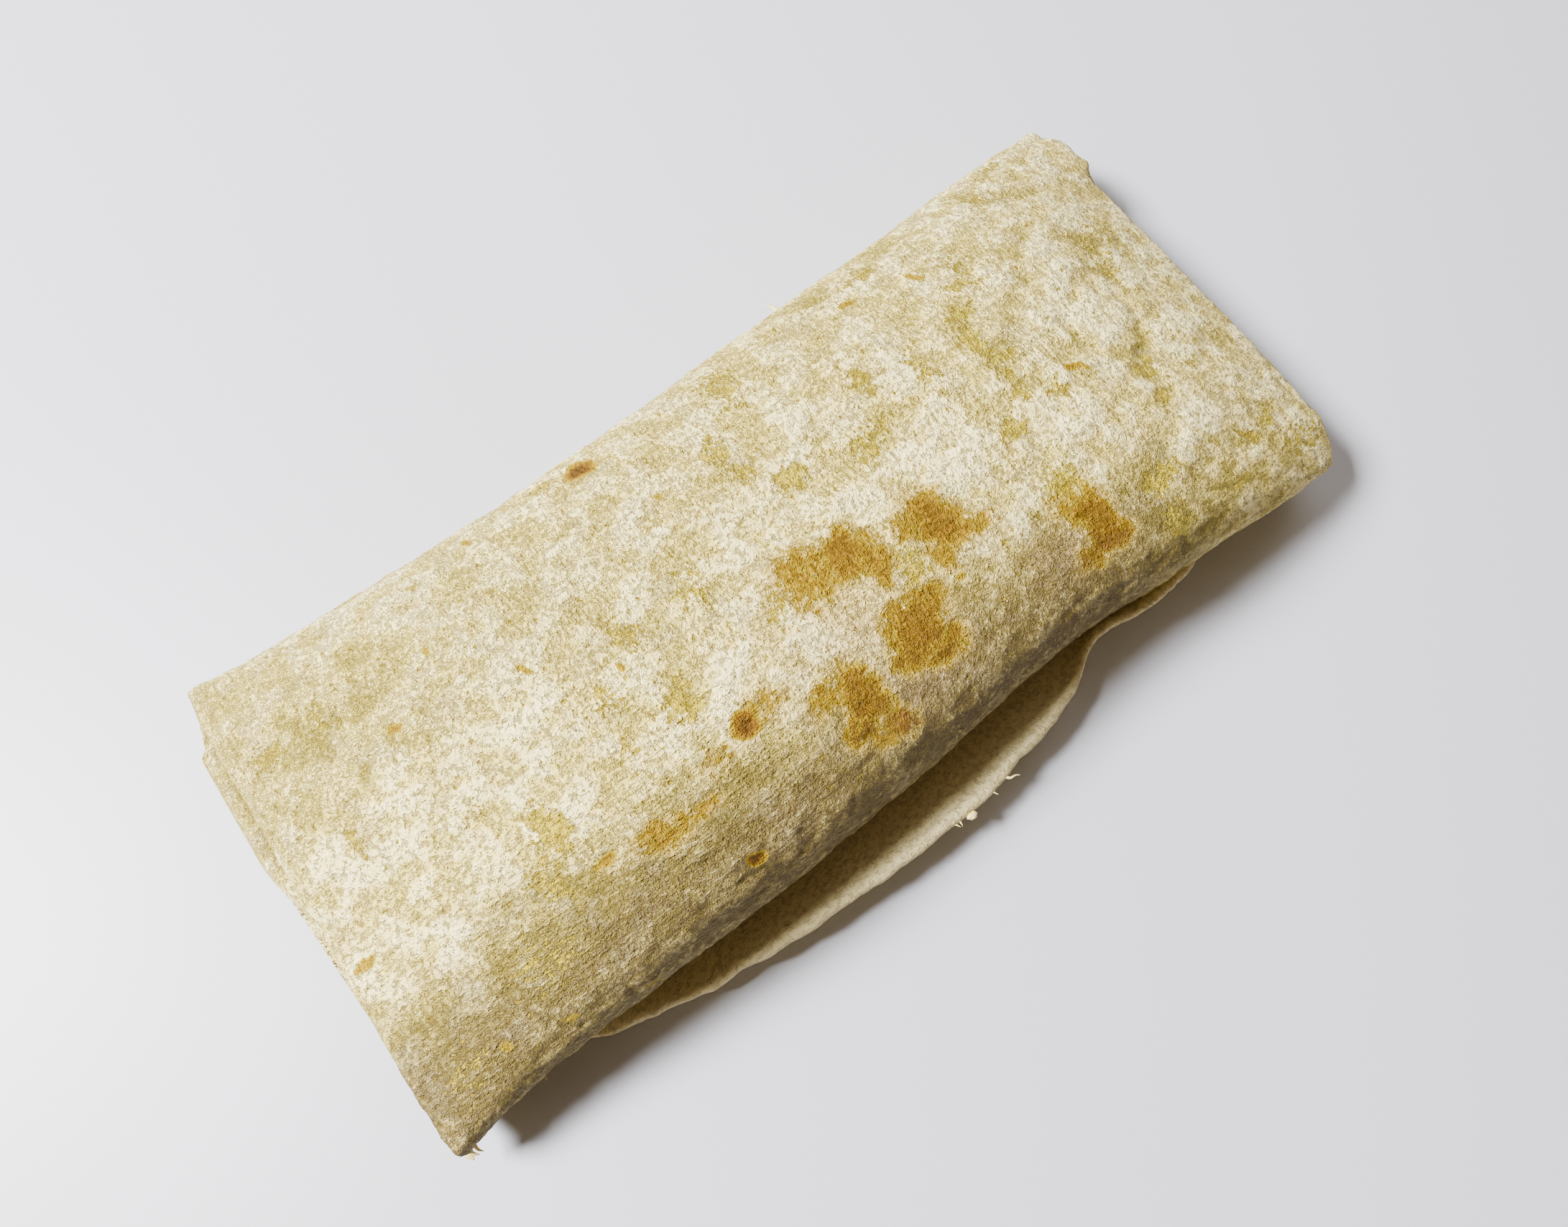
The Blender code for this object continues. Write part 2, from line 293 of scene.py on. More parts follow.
# Smooth blisters, thick with flour: the same, but the strength is the height in mm
BLISTERS = (
    (26.0, -8.4, 9.6, 3.6, 0, 0.95),
    (22.8, -1.2, 5.6, 4.6, 20, 0.35),
    (65.5, -1.8, 7.4, 6.8, 15, 0.85),
    (65.5, 12.0, 7.2, 5.6, 0, 0.6),
    (57.0, 5.4, 4.2, 4.0, 0, 0.4),
    (47.5, -13.0, 6.0, 4.2, 0, 0.4),
    (46.5, -23.4, 4.8, 3.6, 20, 0.4),
    (56.6, -29.0, 3.8, 3.2, 0, 0.5),
    (66.5, -25.0, 7.0, 3.8, 10, 0.45),
    (80.0, -9.2, 11.5, 2.6, 3, 0.5),
    (82.0, -20.0, 9.0, 3.2, 5, 0.4),
    (60.0, -9.0, 3.0, 3.4, 0, 0.3),
    (56.0, 17.0, 5.5, 3.4, 10, 0.3),
    (76.5, 22.0, 9.0, 5.0, 15, 0.35),
    (85.0, 31.0, 7.0, 4.5, 10, 0.35),
    (6.4, 12.6, 5.6, 4.8, 0, 0.3),
    (37.0, 2.0, 3.4, 5.6, 0, 0.25),
    (25.6, -23.5, 4.6, 3.6, 0, 0.35),
    (-21.5, -14.0, 7.6, 5.6, 0, 0.5),
    (-20.0, -26.0, 5.6, 4.4, 0, 0.4),
    (-4.0, -1.2, 4.4, 3.2, 0, 0.3),
    (-52.0, -1.5, 7.0, 5.0, 0, 0.3),
    (-73.0, 4.5, 7.5, 4.2, 0, 0.3),
    (-38.0, -18.0, 6.0, 3.2, 0, 0.25),
    (-37.4, -34.6, 3.4, 2.2, -20, 0.3),
    (-77.0, -19.0, 8.0, 4.6, 0, 0.3),
)
# Creases: half width and depth in mm, then their points along and around
CREASES = (
    (2.1, 0.45, ((76, 14), (75.4, 7), (73.6, 1), (71.4, -5), (68, -9.4), (65.6, -13))),
    (2.2, 0.45, ((65.6, -13), (64, -17), (63, -20.4), (59.6, -24), (54.6, -27.4), (49, -30.6))),
    (1.4, 0.30, ((49, -30.6), (50, -35), (51, -40), (52, -45))),
    (0.6, 0.50, ((-31.6, -5.5), (-31, -10), (-30.3, -15), (-30.5, -20), (-30, -26.5))),
    (0.35, 0.22, ((-24.4, 30.2), (-23.8, 27.6), (-22.2, 25.2))),
    (0.8, 0.30, ((53.4, -0.4), (55.2, -3.4), (58.2, -5))),
    (0.8, 0.30, ((58.4, 8), (59, 2), (57.6, -2), (58.6, -6.6))),
    (0.7, 0.25, ((70, 8), (69.4, 3), (72, -0.6))),
    (0.5, 0.20, ((-60, 5.4), (-59.4, 2), (-59.8, -1.6))),
    (0.7, 0.30, ((9.6, -20.6), (9.8, -24), (8.6, -28))),
)


def srgb(red, green, blue):
    """A colour as the shader takes it, from the usual 0 to 255 values."""
    shares = (red / 255, green / 255, blue / 255)
    return tuple(v / 12.92 if v < 0.04045 else ((v + 0.055) / 1.055) ** 2.4 for v in shares)


# Shapes of the roll --------------------------------------------------------------------------------------


def ease(start, end, value):
    """Smooth step from 0 at start to 1 at end."""
    t = np.clip((value - start) / (end - start), 0.0, 1.0)
    return t * t * (3.0 - 2.0 * t)


def mix(a, b, t):
    return a + (b - a) * t


def taper(x, start, power):
    """0 in the plump middle, 1 at a folded end."""
    return np.maximum(0.0, (np.abs(x) - start) / (LENGTH / 2 - start)) ** power


def through(stations, x):
    """The values at x on smooth curves through the stations, whose first value is their x."""
    last = len(stations) - 1
    x = min(stations[last][0], max(stations[0][0], x))
    i = min(last - 1, int(np.searchsorted(stations[:, 0], x, side="right")) - 1)
    start, end = stations[i], stations[i + 1]
    before, after = stations[max(0, i - 1)], stations[min(last, i + 2)]
    span = end[0] - start[0]
    t = (x - start[0]) / span
    slope_in = (end - before) / (end[0] - before[0]) * span
    slope_out = (after - start) / (after[0] - start[0]) * span
    values = (
        (2 * t**3 - 3 * t**2 + 1) * start
        + (t**3 - 2 * t**2 + t) * slope_in
        + (3 * t**2 - 2 * t**3) * end
        + (t**3 - t**2) * slope_out
    )
    return values[1:]


def curl(start, end, count):
    """Points of one side of the lip, nearly flat up to its knee and then rising, both ends included."""
    knee = np.array((mix(start[0], end[0], LIP_KNEE), mix(start[1], end[1], LIP_CURL)))
    t = np.linspace(0.0, 1.0, count)[:, None]
    return start * (1 - t) ** 2 + knee * 2 * t * (1 - t) + end * t * t


class Section:
    """The outline of the roll at one x, inset towards its middle for the rings of an end."""

    def __init__(self, x, inset):
        front, back = through(SIDES, x)
        ends = taper(x, TOP_TAPER_START, TOP_TAPER_POWER)
        top = mix(HEIGHT, END_LIFT + END_THICKNESS, ends)
        under = mix(-SINK, END_LIFT, taper(x, UNDER_TAPER_START, UNDER_TAPER_POWER))
        self.x = x
        self.middle = (front + back) / 2
        self.half_width = (back - front) / 2 - inset * HEM_SIDE_INSET
        self.widest = mix(WIDEST_HEIGHT, END_LIFT + END_THICKNESS / 2, ends)
        self.rise = top - self.widest - inset
        self.drop = self.widest - under - inset
        self.power = 2.0 / mix(MIDDLE_SQUARENESS, END_SQUARENESS, ends)
        self.floor = max(0.0, under)
        self.lip_share = float(ease(0.0, LIP_FADE, LENGTH / 2 - HEM_RADIUS - abs(x)))

    def roll(self, turn, lift=0.0):
        """Points of the roll at angles: 0 front, a quarter turn up, half a turn at the back."""
        c, s = np.cos(turn), np.sin(turn)
        y = self.middle - self.half_width * np.sign(c) * np.abs(c) ** self.power
        reach = np.where(s > 0, self.rise, self.drop)
        z = self.widest + reach * np.sign(s) * np.abs(s) ** self.power
        return np.stack([y, np.maximum(z, self.floor + lift)], -1)

    def turn_at(self, y):
        """Angle below the front at which the roll's underside passes y."""
        share = min(0.995, max(0.05, (self.middle - y) / self.half_width))
        return -math.acos(share ** (1.0 / self.power))

    def points(self):
        """The closed outline, from the root of the lip out to the free edge and round the roll, and how
        far round the sheet each point is from the top line."""
        edge_y, edge_height, gap = through(FREE_EDGE, self.x)
        edge_y += fray(self.x) * self.lip_share
        tip = np.array((edge_y, self.floor + edge_height))
        lift = (TORTILLA + CREASE_GAP) * self.lip_share
        crease_turn = self.turn_at(edge_y + gap)
        crease = self.roll(np.array(crease_turn), lift)
        root = np.array((max(edge_y + gap, LIP_ROOT) + TORTILLA / 4, self.floor))
        root_turn = self.turn_at(root[0]) - ROOT_GAP

        along = tip - (mix(root[0], tip[0], LIP_KNEE), self.floor + TORTILLA / 2)
        along /= np.linalg.norm(along)
        across = np.array((along[1], -along[0])) * TORTILLA / 2
        shoulder = tip - along * EDGE_ROUNDING
        under_lip = curl(root, shoulder - across, UNDER_POINTS)
        over_lip = curl(crease, shoulder + across, OVER_POINTS + 1)[:0:-1]
        around_edge = np.linspace(-1, 1, EDGE_POINTS + 2)[1:-1, None] * math.pi / 2
        edge = shoulder + along * EDGE_ROUNDING * np.cos(around_edge) + across * np.sin(around_edge)
        flap = np.concatenate([under_lip, edge, over_lip])
        shares = np.arange(len(flap)) / len(flap)
        flap = mix(self.roll(mix(root_turn, crease_turn, shares)), flap, self.lip_share)

        turns = np.linspace(crease_turn, math.tau + root_turn, FINE_TURNS)
        line = np.where((turns < 0)[:, None], self.roll(turns, lift), self.roll(turns))
        steps = np.linalg.norm(np.diff(line, axis=0), axis=1)
        above = (line[1:, 1] + line[:-1, 1]) / 2 - self.floor
        density = np.where(turns[1:] < 0, 1.0, mix(RESTING_SHARE, 1.0, ease(0.0005, 0.005, above)))
        run = np.concatenate([[0.0], np.cumsum(steps * density)])
        length = np.concatenate([[0.0], np.cumsum(steps)])
        wanted = np.linspace(0.0, run[-1], ROLL_POINTS, endpoint=False)
        body = np.stack([np.interp(wanted, run, line[:, k]) for k in (0, 1)], 1)
        top = np.interp(math.pi / 2, turns, length)
        down = np.linalg.norm(np.diff(np.concatenate([flap, body[:1]]), axis=0), axis=1)
        around_flap = -top - np.cumsum(down[::-1])[::-1]
        around_roll = np.interp(wanted, run, length) - top
        return np.concatenate([flap, body]), np.concatenate([around_flap, around_roll])


def swell(x, y):
    """Height of the filling's swells, which die out towards the ends."""
    along = np.sin(math.tau * (x + SWELL_ALONG / 7) / SWELL_ALONG)
    across = np.sin(math.tau * (y + SWELL_ACROSS / 3 + SWELL_LEAN * x) / SWELL_ACROSS)
    return SWELL * along * across * (1.0 - taper(x, 0.0, 3.0))


def end_shift(x, y):
    """How far a point lies along X from where it would lie on a roll with square ends."""
    out = abs(x) / (LENGTH / 2)
    share = ease(0.35, 1.0, out)
    side = y / SIDES[-1][2]
    if x < 0:
        return share * LEFT_SKEW * side
    corner = FRONT_CORNER_CUT * ease(0.78, 1.0, -side)
    off_ear = np.abs(y - DOG_EAR_MIDDLE) / DOG_EAR_HALF_WIDTH
    ear = DOG_EAR_REACH * ease(1.0, 0.5, off_ear) * ease(0.93, 1.0, out)
    return share * (RIGHT_SKEW * side - corner) + ear


def tongue(x, y):
    """How far the inner turn of the left end stands out at y."""
    if x > 0:
        return 0.0
    return TONGUE_REACH * ease(*TONGUE_BACK, y) * ease(*TONGUE_FRONT, y)


def fray(x):
    """How unevenly the free edge was cut."""
    wide = layers(np.array([x / 0.009]), np.array([0.5]), 2, 71)
    fine = noise(np.array([x / 0.0016]), np.array([0.5]), 73)
    return float(wide[0] * 0.0005 + fine[0] * 0.00012)


# Noise on the sheet --------------------------------------------------------------------------------------


def hashed(i, j, seed):
    """An even number from 0 to 1 for each whole-number place."""
    h = (i * 374761393 + j * 668265263 + seed * 974634777) & 0xFFFFFFFF
    h = ((h ^ (h >> 13)) * 1274126177) & 0xFFFFFFFF
    return ((h ^ (h >> 16)) & 0xFFFFFF) / 0xFFFFFF


def noise(a, b, seed):
    """Smooth noise from about -1 to 1, with bumps one unit apart."""
    i, j = np.floor(a).astype(np.int64), np.floor(b).astype(np.int64)
    fa, fb = a - i, b - j
    wa = fa**3 * (fa * (fa * 6 - 15) + 10)
    wb = fb**3 * (fb * (fb * 6 - 15) + 10)

    def corner(da, db):
        angle = math.tau * hashed(i + da, j + db, seed)
        return np.cos(angle) * (fa - da) + np.sin(angle) * (fb - db)

    near = mix(corner(0, 0), corner(1, 0), wa)
    far = mix(corner(0, 1), corner(1, 1), wa)
    return mix(near, far, wb) * 1.6


def layers(a, b, count, seed, gain=0.5):
    """Noise of several sizes, each half as large as the one before."""
    return sum(noise(a * 2**k, b * 2**k, seed + k) * gain**k for k in range(count))


def ridges(a, b, seed):
    """1 along the crests of a field of folds, falling to 0 between them."""
    return 1.0 - np.minimum(1.0, np.abs(noise(a, b, seed)) * 2.2)


def cells(a, b, seed):
    """Distance to the nearest and to the next of scattered points, in units of their spacing."""
    i, j = np.floor(a).astype(np.int64), np.floor(b).astype(np.int64)
    first, second = np.full(a.shape, 9.0), np.full(a.shape, 9.0)
    for di in (-1, 0, 1):
        for dj in (-1, 0, 1):
            pa = i + di + hashed(i + di, j + dj, seed)
            pb = j + dj + hashed(i + di, j + dj, seed + 1)
            gap = np.hypot(pa - a, pb - b)
            second = np.minimum(second, np.maximum(first, gap))
            first = np.minimum(first, gap)
    return first, second


class Sheet:
    """The tortilla unrolled: where each point of the mesh is on it, in mm, and what it is like there."""

    def __init__(self, along, around):
        self.along, self.around = along, around
        self.bend_along = layers(along / 5, around / 5, 3, 11) * 1.1
        self.bend_around = layers(along / 5, around / 5, 3, 21) * 1.1

    def marks(self, table, edge=(1.25, 0.55)):
        """The strongest of the table's marks at each point, with uneven outlines."""
        total = np.zeros(self.along.shape)
        for along, around, length, width, turn, strength in table:
            a = self.along + self.bend_along - along
            b = self.around + self.bend_around - around
            c, s = math.cos(math.radians(turn)), math.sin(math.radians(turn))
            off = np.hypot((a * c + b * s) / length, (b * c - a * s) / width)
            total = np.maximum(total, strength * ease(*edge, off))
        return total

    def domes(self, table):
        """The height of the blisters, in mm."""
        total = np.zeros(self.along.shape)
        for along, around, length, width, turn, height in table:
            a = self.along + self.bend_along * 0.8 - along
            b = self.around + self.bend_around * 0.8 - around
            c, s = math.cos(math.radians(turn)), math.sin(math.radians(turn))
            off = np.hypot((a * c + b * s) / length, (b * c - a * s) / width)
            total = np.maximum(total, height * np.clip(1.0 - off**2.4, 0.0, 1.0) ** 0.75)
        return total

    def creases(self):
        """The depth of the creases, in mm."""
        total = np.zeros(self.along.shape)
        a = self.along + self.bend_along * 0.5
        b = self.around + self.bend_around * 0.5
        for width, depth, line in CREASES:
            off = np.full(self.along.shape, 99.0)
            for (a0, b0), (a1, b1) in zip(line, line[1:]):
                da, db = a1 - a0, b1 - b0
                t = np.clip(((a - a0) * da + (b - b0) * db) / (da * da + db * db), 0, 1)
                off = np.minimum(off, np.hypot(a - a0 - t * da, b - b0 - t * db))
            total = np.maximum(total, depth * np.exp(-((off / width) ** 2)))
        return total


# Making meshes -------------------------------------------------------------------------------------------


def ring_places():
    """The rings, left end to right: x, inset, and how far they are on the inner turn of the fold."""
    edge = LENGTH / 2
    hem = [through(HEM, step) for step in np.linspace(0, len(HEM) - 1, HEM_RINGS)]
    hem = [(back, max(0.0, inset), min(1.0, max(0.0, inner))) for back, inset, inner in hem]
    body_edge = edge - hem[0][0]
    shares = np.linspace(-1, 1, BODY_RINGS + 2)[1:-1]
    left = [(back - edge, inset, inner) for back, inset, inner in reversed(hem)]
    right = [(edge - back, inset, inner) for back, inset, inner in hem]
    return left + [(body_edge * share, 0.0, 0.0) for share in shares] + right


class Roll:
    """The grid of points of the tortilla, before its surface is worked, and their places on the sheet."""

    def __init__(self):
        places, around = [], []
        for x, inset, inner in ring_places():
            outline, distance = Section(x, inset).points()
            y, z = outline.T
            z = z + ease(WIDEST_HEIGHT, HEIGHT, z) * swell(x, y)
            shifted = x + end_shift(x, y) - tongue(x, y) * inner
            places.append(np.stack([shifted, y, z], 1))
            around.append(distance)
        self.points = np.array(places)
        low, high = self.points.min((0, 1)), self.points.max((0, 1))
        target = (ROLL_LOW + ROLL_HIGH) / 2
        self.points += (target[0] - (low[0] + high[0]) / 2, target[1] - (low[1] + high[1]) / 2, 0.0)
        self.around = np.array(around) / MM
        self.rings, self.count = self.around.shape
        self.along = self.measure_along() / MM
        self.over_lip = slice(UNDER_POINTS + EDGE_POINTS, UNDER_POINTS + EDGE_POINTS + OVER_POINTS)
        self.lip = slice(0, UNDER_POINTS + EDGE_POINTS + OVER_POINTS)

    def measure_along(self):
        """x in the body, and from there on the distance travelled over the hems."""
        along = self.points[:, :, 0].copy()
        steps = np.linalg.norm(np.diff(self.points, axis=0), axis=2)
        for i in range(HEM_RINGS - 1, -1, -1):
            along[i] = along[i + 1] - steps[i]
        for i in range(self.rings - HEM_RINGS, self.rings):
            along[i] = along[i - 1] + steps[i - 1]
        return along

    def normals(self):
        """Outward directions on the grid."""
        down = np.gradient(self.points, axis=0)
        round_it = np.roll(self.points, -1, 1) - np.roll(self.points, 1, 1)
        out = np.cross(down, round_it)
        out /= np.maximum(np.linalg.norm(out, axis=2), 1e-12)[:, :, None]
        middle = self.points.mean(1, keepdims=True)
        top = np.argmin(np.abs(self.around[self.rings // 2]))
        facing = out[self.rings // 2, top] @ (self.points - middle)[self.rings // 2, top]
        return out if facing > 0 else -out


def grid_mesh(name, points):
    """A closed mesh from rings of points, capped at both ends."""
    rings, count = points.shape[:2]
    index = np.arange(rings * count).reshape(rings, count)
    after = np.roll(index, -1, 1)
    quads = np.stack([index[:-1], after[:-1], after[1:], index[1:]], -1).reshape(-1, 4)
    centre = points.mean((0, 1))
    corners = points.reshape(-1, 3)[quads] - centre
    volume = np.einsum("ij,ij->", corners[:, 0], np.cross(corners[:, 1], corners[:, 2]))
    first, last = index[0][::-1], index[-1]
    if volume < 0:
        quads, first, last = quads[:, ::-1], first[::-1], last[::-1]
    faces = quads.tolist() + [first.tolist(), last.tolist()]
    mesh = bpy.data.meshes.new(name)
    mesh.from_pydata(points.reshape(-1, 3).tolist(), [], faces)
    mesh.validate()
    mesh.shade_smooth()
    return mesh


def write_field(mesh, name, values):
    """Stores one number, or one vector, for each point of the mesh."""
    kind, key = ("FLOAT_VECTOR", "vector") if values.ndim == 2 else ("FLOAT", "value")
    field = mesh.attributes.new(name, kind, "POINT")
    field.data.foreach_set(key, values.astype(np.float32).ravel())


def add_piece(name, mesh, material):
    """Puts the mesh in the scene as a piece that rides on the burrito."""
    piece = bpy.data.objects.new(name, mesh)
    bpy.context.scene.collection.objects.link(piece)
    mesh.materials.append(material)
    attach(piece, "root")
    return piece


# The worked surface --------------------------------------------------------------------------------------


def surface_fields(roll):
    """What the tortilla is like at each point: the shares of flour, oil and the rest, painted shade on the front
    among them, and its relief in mm.
    """
    a, u = roll.along, roll.around
    sheet = Sheet(a, u)
    toast = sheet.marks(TOASTED, (1.7, 0.25))
    oil = sheet.marks(OILY, (1.9, 0.35))
    red = sheet.marks(REDDISH, (1.5, 0.3))
    pink = sheet.marks(PINKISH, (1.3, 0.2))
    bare = sheet.marks(BARE, (1.6, 0.2))
    domes = sheet.domes(BLISTERS)
    creases = sheet.creases()

    first, second = cells(a / 6.5 + sheet.bend_along / 9, u / 5.0 + sheet.bend_around / 9, 41)
    pillows = ease(0.0, 0.55, second - first)

    left = ease(20, -50, a)
    right = ease(30, 62, a)
    front = ease(-4, -18, u)
    wrinkled = front * ease(-8, -36, a) + 0.35 * ease(66, 76, a) * ease(26, 12, u)
    wrinkled = np.clip(wrinkled + 0.6 * ease(-14, -24, u) * ease(52, 64, a), 0, 1)

    cakes = layers(a / 6.4, u / 5.6, 2, 31, 0.40)
    edges = layers(a / 1.6, u / 1.4, 2, 33, 0.55)
    islands = ease(-0.30, 0.30, cakes + 0.22 * edges)
    flour = 0.44 + 0.40 * islands + 0.06 * edges * (1 - 0.7 * right) + 0.12 * layers(a / 16, u / 16, 2, 37)
    flour -= sheet.marks(THIN, (1.5, 0.1))
    flour += (0.30 * (pillows - 0.50) + 0.10 * ease(78, 90, a)) * right + 0.6 * domes
    flour -= 0.32 * creases + 0.30 * bare + 0.30 * oil
    # Painted shade on the front strip, which faces away from the light, partly the damp flour there: its flour is
    # thinned below and it gets a darker colour in the finish.
    shade = ease(-15, -35, u) * ease(74, 34, a)
    shade[:, roll.lip] = 0.0
    flour -= 0.30 * shade
    flour[:, roll.lip] = np.maximum(flour[:, roll.lip], 0.75)

    first, second = cells(a / 9.0 + sheet.bend_along / 12, u / 3.2 + sheet.bend_around / 12, 45)
    long_pillows = ease(0.0, 0.5, second - first)
    folds = ridges(a / 10 + sheet.bend_along / 14, u / 1.7 + sheet.bend_around / 5, 51)
    fine_folds = ridges(a / 5 + sheet.bend_along / 9, u / 1.25 + sheet.bend_around / 5, 55)

    relief = 0.20 * islands * mix(1.0, 0.5, right)
    relief += 0.8 * domes - creases
    relief += 0.22 * pillows * mix(0.4, 1.0, right) * (1 - wrinkled)
    relief += 0.12 * long_pillows * ease(64, 74, a)
    relief += wrinkled * (0.17 * folds + 0.10 * fine_folds)
    relief += 0.09 * layers(a / 1.9, u / 1.9, 2, 61) + 0.12 * layers(a / 4.2, u / 4.2, 2, 65)
    relief -= 0.22 * ease(0.3, 0.9, toast)
    relief -= 0.35
    return {
        "flour": flour,
        "oil": oil,
        "bare": bare,
        "red": red,
        "pink": pink,
        # Painted shade on the front, partly damp flour
        "damp_and_painted_shade": 0.95 * shade,
        "toast": toast,
        "grain": np.clip(wrinkled + 0.35 * left * front, 0, 1),
        "fleck": np.clip(0.40 + 0.5 * ease(-30, -70, a) * ease(4, 16, u) + 0.25 * ease(0, 20, u), 0, 1),
        "calm": np.clip(0.8 * right + 0.9 * ease(0.05, 0.30, domes), 0, 0.9),
        "wet": ease(1.3, 0.3, np.hypot((a + 71) / 8, (u + 18) / 6)),
    }, relief


def relief_share(roll):
    """How much of the relief each point gets: none where the roll rests, in its creases and at its ends."""
    share = ease(0.0002, 0.0030, roll.points[:, :, 2])
    lip = roll.lip.stop
    from_crease = roll.around - roll.around[:, lip : lip + 1]
    beside = np.where(np.arange(roll.count)[None, :] >= lip, ease(0.3, 4.5, from_crease), 1.0)
    share = share * beside
    share[:, roll.lip] *= 0.16
    hem = np.ones(roll.rings)
    hem[:HEM_RINGS] = ease(0, HEM_RINGS * 0.9, np.arange(HEM_RINGS))
    hem[-HEM_RINGS:] = hem[:HEM_RINGS][::-1]
    return share * hem[:, None]


def through_seam():
    """1 in the groove between the two turns of the left hem, 0 elsewhere: where a shadow is painted in the
    groove.
    """
    steps = np.linspace(len(HEM) - 1, 0, HEM_RINGS)
    return ease(1.2, 0.4, np.abs(steps - 4.0))


def make_roll():
    """The tortilla's mesh, with the fields that its finish reads."""
    roll = Roll()
    fields, relief = surface_fields(roll)
    roll.points += roll.normals() * (relief * relief_share(roll) * MM)[:, :, None]
    roll.points[:, :, 2] = np.maximum(roll.points[:, :, 2], 0.0)
    inner = np.zeros((roll.rings, roll.count))
    inner[:, roll.lip] = 1.0
    inner *= ease(-78, -66, roll.along) * ease(70, 58, roll.along)
    fields["inner"] = inner
    fields["pink"][:, roll.lip] = 0.0
    # Painted shadow in the groove between the two turns of the left hem
    fields["seam"] = np.zeros(inner.shape)
    fields["seam"][:HEM_RINGS] = through_seam()[:, None]
    mesh = grid_mesh("tortilla", roll.points)
    for name, values in fields.items():
        write_field(mesh, name, values.ravel())
    place = np.stack([roll.along.ravel(), roll.around.ravel(), np.zeros(roll.along.size)], 1)
    write_field(mesh, "sheet", place)
    return mesh, roll


# Materials -----------------------------------------------------------------------------------------------


class Recipe:
    """A material, with short ways to add the nodes of its finish."""

    def __init__(self, name):
        self.material = bpy.data.materials.new(name)
        self.material.use_nodes = True
        self.tree = self.material.node_tree
        self.shader = self.tree.nodes["Principled BSDF"]

    def add(self, kind, inputs, **settings):
        node = self.tree.nodes.new(kind)
        for key, value in settings.items():
            setattr(node, key, value)
        self.feed(node, inputs)
        return node

    def feed(self, node, inputs):
        for key, value in inputs.items():
            if isinstance(value, bpy.types.NodeSocket):
                self.tree.links.new(value, node.inputs[key])
            else:
                node.inputs[key].default_value = value

    def field(self, name):
        node = self.add("ShaderNodeAttribute", {}, attribute_name=name, attribute_type="GEOMETRY")
        return node.outputs["Fac"]

    def sheet(self, along=1.0, around=1.0):
        """The place on the sheet in mm, divided by the two sizes."""
        node = self.add("ShaderNodeAttribute", {}, attribute_name="sheet", attribute_type="GEOMETRY")
        scale = (1.0 / along, 1.0 / around, 1.0)
        return self.add("ShaderNodeMapping", {"Vector": node.outputs["Vector"], "Scale": scale}).outputs[0]

    def noise(self, along, around, detail=2.0, roughness=0.5, distortion=0.0):
        inputs = {
            "Vector": self.sheet(along, around),
            "Scale": 1.0,
            "Detail": detail,
            "Roughness": roughness,
            "Distortion": distortion,
        }
        return self.add("ShaderNodeTexNoise", inputs, noise_dimensions="2D").outputs[0]

    def math(self, operation, a, b=0.0, clamp=False):
        return self.add("ShaderNodeMath", {0: a, 1: b}, operation=operation, use_clamp=clamp).outputs[0]

    def total(self, start, *terms):
        """start plus each value times its weight."""
        for value, weight in terms:
            start = self.add(
                "ShaderNodeMath", {0: value, 1: weight, 2: start}, operation="MULTIPLY_ADD"
            ).outputs[0]
        return start

    def step(self, value, start, end, low=0.0, high=1.0):
        """Smooth step of the value."""
        inputs = {"Value": value, "From Min": start, "From Max": end, "To Min": low, "To Max": high}
        return self.add("ShaderNodeMapRange", inputs, interpolation_type="SMOOTHSTEP").outputs[0]

    def blend(self, share, a, b):
        """Colour a where the share is 0 and b where it is 1."""
        return self.add("ShaderNodeMix", {0: share, 6: a, 7: b}, data_type="RGBA").outputs[2]

    def ramp(self, value, *stops):
        node = self.add("ShaderNodeValToRGB", {0: value})
        marks = node.color_ramp.elements
        marks[0].position, marks[0].color = stops[0]
        marks[1].position, marks[1].color = stops[-1]
        for place, colour in stops[1:-1]:
            marks.new(place).color = colour
        return node.outputs[0]


def rgba(colour):
    return (*colour[:3], 1.0)


